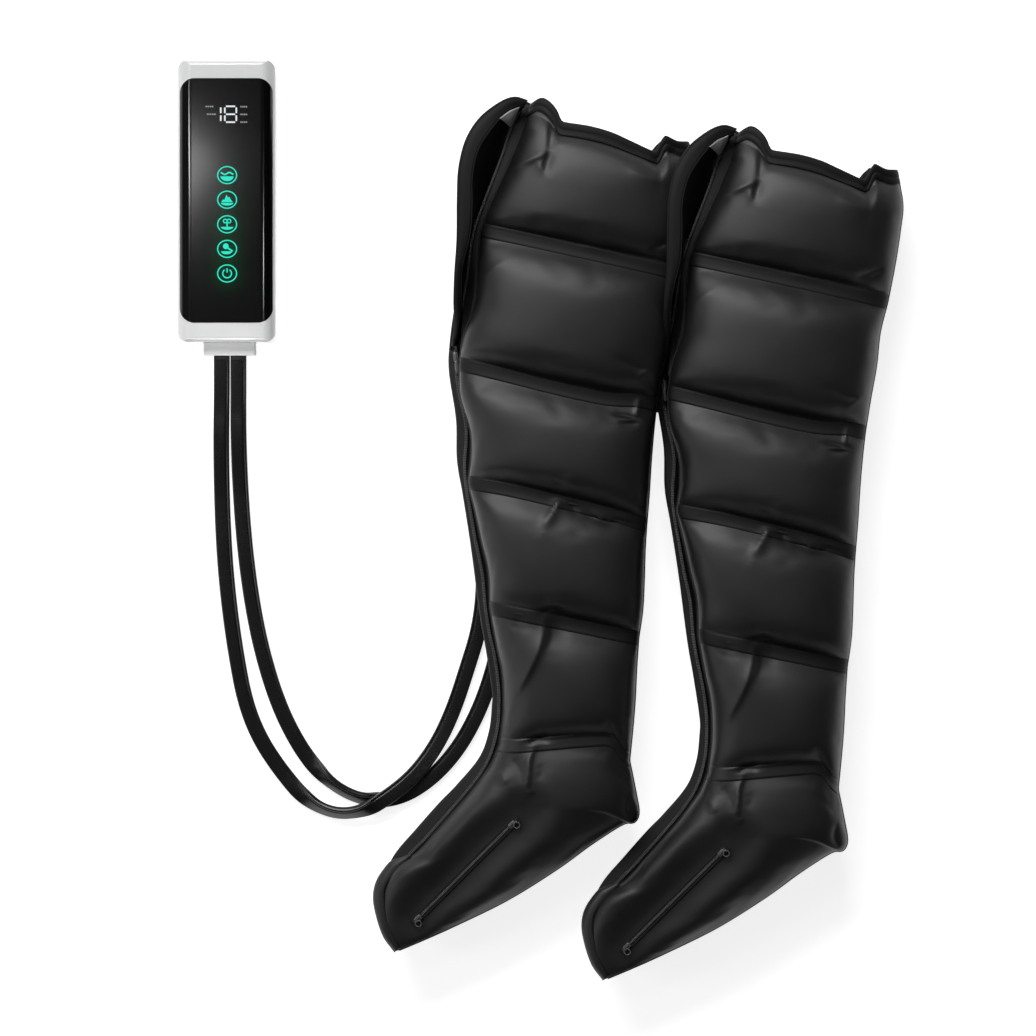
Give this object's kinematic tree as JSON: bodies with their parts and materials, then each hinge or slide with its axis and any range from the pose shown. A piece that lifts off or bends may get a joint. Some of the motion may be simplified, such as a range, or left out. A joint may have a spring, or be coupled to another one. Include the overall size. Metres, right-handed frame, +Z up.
{
  "type": "compression therapy pump",
  "caption": "Handheld compression pump with a lit display and ring-marked keys, flat air hoses and full-leg inflatable boots with curved front zips and foot zips.",
  "frame": {"origin": "centre of the whole layout on the surface it lies on", "axes": "+X from the pump towards the boots and from toes to heels, +Y along the boots towards the thigh and along the pump towards its display end, +Z up off the surface"},
  "size_m": [0.7978, 1.012, 0.1191],
  "materials": {
    "housing_white": "smooth gloss white",
    "glass_black": "high gloss black",
    "key_black": "high gloss black with a lit ring",
    "boot_fabric": "coated satin fabric, welded",
    "boot_binding": "woven binding tape, stitched",
    "zip_coil": "satin coil on woven tape",
    "zip_metal": "satin black",
    "hose_rubber": "satin dark grey",
    "board_green": "solder-masked board",
    "inner_plastic": "moulded",
    "battery_wrap": "shrink wrap",
    "steel": "machined",
    "foot_rubber": "matte"
  },
  "bodies": {
    "boots": {"hose_plug": "housing_white", "outer_hose": "hose_rubber", "inner_hose": "hose_rubber", "left_thigh_high_cell": "boot_fabric", "left_thigh_low_cell": "boot_fabric", "left_knee_cell": "boot_fabric", "left_calf_cell": "boot_fabric", "left_ankle_cell": "boot_fabric", "left_foot_cell": "boot_fabric", "left_back_gusset": "boot_fabric", "left_front_zip": "zip_coil", "left_thigh_hem": "boot_binding", "left_thigh_flap": "boot_fabric", "left_toe_binding": "boot_binding", "left_foot_zip": "zip_coil", "left_air_inlet": "inner_plastic", "right_thigh_high_cell": "boot_fabric", "right_thigh_low_cell": "boot_fabric", "right_knee_cell": "boot_fabric", "right_calf_cell": "boot_fabric", "right_ankle_cell": "boot_fabric", "right_foot_cell": "boot_fabric", "right_back_gusset": "boot_fabric", "right_front_zip": "zip_coil", "right_thigh_hem": "boot_binding", "right_thigh_flap": "boot_fabric", "right_toe_binding": "boot_binding", "right_foot_zip": "zip_coil", "right_air_inlet": "inner_plastic"},
    "handset": {"front_housing": "housing_white", "rear_housing": "housing_white", "front_glass": "glass_black", "key_board": "board_green", "display_module": "inner_plastic", "main_board": "board_green", "battery_cells": "battery_wrap", "battery_holder": "inner_plastic", "motor_can": "steel", "pump_head": "inner_plastic", "valve_manifold": "inner_plastic", "solenoid_valves": "steel", "air_tubes": "hose_rubber", "hose_socket": "inner_plastic", "charging_port": "steel", "housing_screws": "steel", "rubber_feet": "foot_rubber"},
    "power_key": {"power_key": "key_black"},
    "massage_key_1": {"massage_key_1": "key_black"},
    "massage_key_2": {"massage_key_2": "key_black"},
    "massage_key_3": {"massage_key_3": "key_black"},
    "massage_key_4": {"massage_key_4": "key_black"},
    "rotor": {"motor_rotor": "steel"},
    "left_front_slider": {"left_front_slider": "zip_metal"},
    "left_heel_end_slider": {"left_heel_end_slider": "zip_metal"},
    "left_toe_end_slider": {"left_toe_end_slider": "zip_metal"},
    "right_front_slider": {"right_front_slider": "zip_metal"},
    "right_heel_end_slider": {"right_heel_end_slider": "zip_metal"},
    "right_toe_end_slider": {"right_toe_end_slider": "zip_metal"}
  },
  "joints": [
    {"name": "handset_pull", "type": "slide", "parent": "boots", "child": "handset", "axis": [0, 1, 0], "range_m": [0, 0.022]},
    {"name": "power_key_press", "type": "slide", "parent": "handset", "child": "power_key", "axis": [0, 0, -1], "range_m": [0, 0.0006], "stiffness_N_per_m": 1500, "springref_m": -0.0005},
    {"name": "massage_key_1_press", "type": "slide", "parent": "handset", "child": "massage_key_1", "axis": [0, 0, -1], "range_m": [0, 0.0006], "stiffness_N_per_m": 1500, "springref_m": -0.0005},
    {"name": "massage_key_2_press", "type": "slide", "parent": "handset", "child": "massage_key_2", "axis": [0, 0, -1], "range_m": [0, 0.0006], "stiffness_N_per_m": 1500, "springref_m": -0.0005},
    {"name": "massage_key_3_press", "type": "slide", "parent": "handset", "child": "massage_key_3", "axis": [0, 0, -1], "range_m": [0, 0.0006], "stiffness_N_per_m": 1500, "springref_m": -0.0005},
    {"name": "massage_key_4_press", "type": "slide", "parent": "handset", "child": "massage_key_4", "axis": [0, 0, -1], "range_m": [0, 0.0006], "stiffness_N_per_m": 1500, "springref_m": -0.0005},
    {"name": "rotor_spin", "type": "hinge", "parent": "handset", "child": "rotor", "pos_m": [-0.379, 0.268, 0.0205], "axis": [0, 1, 0], "continuous": true},
    {"name": "left_front_slider_run", "type": "slide", "parent": "boots", "child": "left_front_slider", "axis": [0.0963, -0.9954, 0], "range_m": [0, 0.04]},
    {"name": "left_heel_end_slider_run", "type": "slide", "parent": "boots", "child": "left_heel_end_slider", "axis": [-0.6983, -0.7044, -0.1275], "range_m": [0, 0.068]},
    {"name": "left_toe_end_slider_run", "type": "slide", "parent": "boots", "child": "left_toe_end_slider", "axis": [0.6983, 0.7044, 0.1275], "range_m": [0, 0.068]},
    {"name": "right_front_slider_run", "type": "slide", "parent": "boots", "child": "right_front_slider", "axis": [0.0963, -0.9954, 0], "range_m": [0, 0.04]},
    {"name": "right_heel_end_slider_run", "type": "slide", "parent": "boots", "child": "right_heel_end_slider", "axis": [-0.6983, -0.7044, -0.1275], "range_m": [0, 0.068]},
    {"name": "right_toe_end_slider_run", "type": "slide", "parent": "boots", "child": "right_toe_end_slider", "axis": [0.6983, 0.7044, 0.1275], "range_m": [0, 0.068]}
  ]
}
